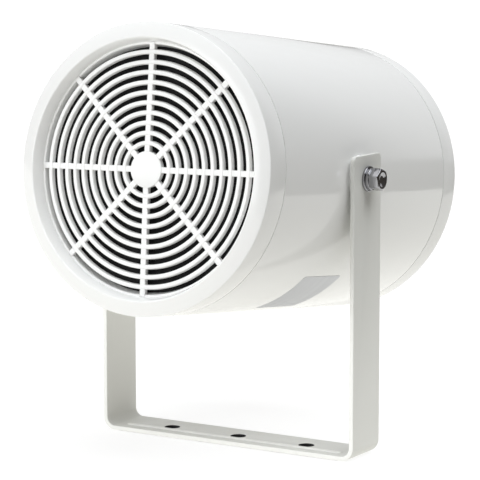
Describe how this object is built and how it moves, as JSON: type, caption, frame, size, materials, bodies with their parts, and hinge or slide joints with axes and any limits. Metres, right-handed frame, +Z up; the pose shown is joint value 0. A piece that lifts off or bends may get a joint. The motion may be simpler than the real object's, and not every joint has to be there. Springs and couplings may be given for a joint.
{
  "type": "sound projector",
  "caption": "White round sound projector: a tubular loudspeaker housing with a concentric bar grille, tilting on pivot bolts in a U bracket with mounting holes.",
  "frame": {"origin": "centre of the underside of the bracket's base, which stands on or bolts to a surface", "axes": "+Z up from the base along the straps; -Y to the front, where the grille faces; +X along the pivot bolts"},
  "size_m": [0.2172, 0.2826, 0.2873],
  "materials": {
    "white_abs": "semi-gloss",
    "bracket_paint": "satin powder coat",
    "plated_steel": "bright zinc plate",
    "black_cloth": "matt woven",
    "black_rubber": "matt",
    "treated_cloth": "matt woven",
    "black_enamel": "semi-gloss",
    "motor_steel": "yellow passivated",
    "ferrite": "matt",
    "cone_paper": "matt pressed pulp",
    "former_paper": "matt",
    "copper_wire": "lacquered",
    "core_steel": "varnished laminations",
    "brown_laminate": "matt",
    "grey_nylon": "satin moulded",
    "terminal_brass": "bare"
  },
  "bodies": {
    "bracket": {"mounting_bracket": "bracket_paint"},
    "housing": {"front_ring": "white_abs", "grille": "white_abs", "housing_tube": "white_abs", "rear_cap": "white_abs", "pivot_bolt_left": "plated_steel", "pivot_bolt_right": "plated_steel", "flat_washer_left": "plated_steel", "flat_washer_right": "plated_steel", "spring_washer_left": "plated_steel", "spring_washer_right": "plated_steel", "pivot_nut_left": "plated_steel", "pivot_nut_right": "plated_steel", "rear_cap_screws": "plated_steel", "driver_screws": "plated_steel", "transformer_screws": "plated_steel", "dust_screen": "black_cloth", "friction_washer_left": "black_rubber", "friction_washer_right": "black_rubber", "rear_cap_gasket": "black_rubber", "driver_gasket": "black_rubber", "gland_seal": "black_rubber", "surround": "treated_cloth", "spider": "treated_cloth", "driver_basket": "black_enamel", "top_plate": "motor_steel", "pole_plate": "motor_steel", "magnet": "ferrite", "transformer_winding": "copper_wire", "transformer_core": "core_steel", "transformer_clamp": "core_steel", "tag_strip": "brown_laminate", "terminal_block": "grey_nylon", "gland_body": "grey_nylon", "gland_locknut": "grey_nylon", "gland_cap": "grey_nylon", "terminal_screws": "terminal_brass"},
    "cone": {"cone": "cone_paper", "dust_cap": "cone_paper", "voice_coil_former": "former_paper", "voice_coil_winding": "copper_wire"}
  },
  "joints": [
    {"name": "housing_tilt", "type": "hinge", "parent": "bracket", "child": "housing", "pos_m": [0, 0, 0.184], "axis": [-1, 0, 0], "range_deg": [-96.75, 83.25]},
    {"name": "cone_travel", "type": "slide", "parent": "housing", "child": "cone", "axis": [0, -0.9931, 0.1175], "range_m": [-0.003, 0.003], "stiffness_N_per_m": 1200, "deforming": ["surround", "spider"]}
  ]
}
